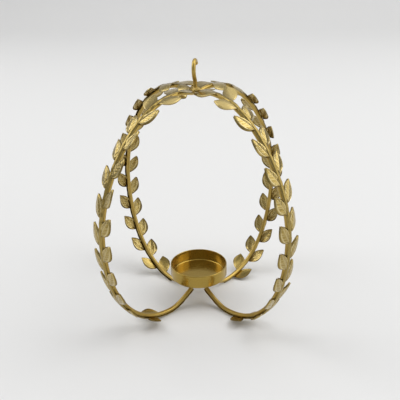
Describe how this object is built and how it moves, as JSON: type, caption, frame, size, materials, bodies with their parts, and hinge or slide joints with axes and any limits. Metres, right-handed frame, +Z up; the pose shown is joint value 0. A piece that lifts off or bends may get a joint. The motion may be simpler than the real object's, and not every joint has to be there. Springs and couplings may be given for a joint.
{
  "type": "tealight holder",
  "caption": "Open egg-shaped cage of bent gold-painted rods dressed with stamped leaf garlands, with a shallow tealight cup inside and a wire hook on the crown to hang it by.",
  "frame": {"origin": "on the floor under the axis of the cage, at the middle of the box", "axes": "+Z up along the axis of the cage, -Y towards the front of the picture, +X to its right"},
  "size_m": [0.1348, 0.1348, 0.1866],
  "materials": {
    "cup_gold": "semi-gloss gold paint",
    "rod_gold": "semi-gloss gold paint",
    "leaf_gold": "satin gold paint over a stamped relief",
    "weld_gold": "gold paint over a rough bead"
  },
  "bodies": {
    "root": {"tealight_cup": "cup_gold", "cup_weld": "weld_gold", "crown_weld": "weld_gold", "rib_rod_front_left": "rod_gold", "rib_rod_front_right": "rod_gold", "rib_rod_back_right": "rod_gold", "rib_rod_back_left": "rod_gold", "leaf_strip_front_left": "leaf_gold", "leaf_strip_front_right": "leaf_gold", "leaf_strip_back_right": "leaf_gold", "leaf_strip_back_left": "leaf_gold", "hanging_hook": "rod_gold"}
  },
  "joints": []
}
